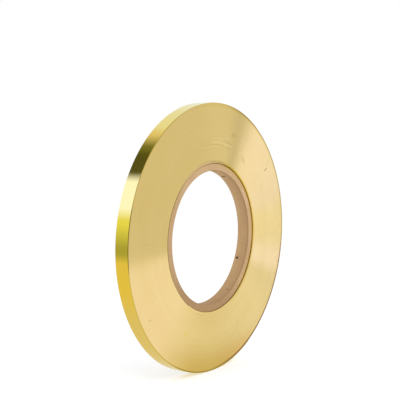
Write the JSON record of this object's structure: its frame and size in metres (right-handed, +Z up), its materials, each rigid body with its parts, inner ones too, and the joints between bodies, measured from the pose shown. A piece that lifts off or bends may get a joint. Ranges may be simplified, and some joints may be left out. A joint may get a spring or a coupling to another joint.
{
  "type": "roll of brass strip",
  "caption": "Narrow roll of bright brass strip wound turn on turn round a spiral paperboard core with an open bore for a spindle.",
  "frame": {"origin": "centre of the roll: on the axis of the bore, midway between the two ends of the strip coil", "axes": "Y along the bore; -Y is the front end, where the core lies a little behind the strip; Z up, with the roll on its rim"},
  "size_m": [0.301, 0.016, 0.301],
  "materials": {
    "paperboard": "matt brown kraft paperboard, spiral wound, with a butt seam in the bore",
    "brass_strip": "bright cold-rolled brass, mirror-like on the outer turn and satin on the slit edges"
  },
  "bodies": {
    "root": {"core": "paperboard", "strip_coil": "brass_strip"}
  },
  "joints": []
}
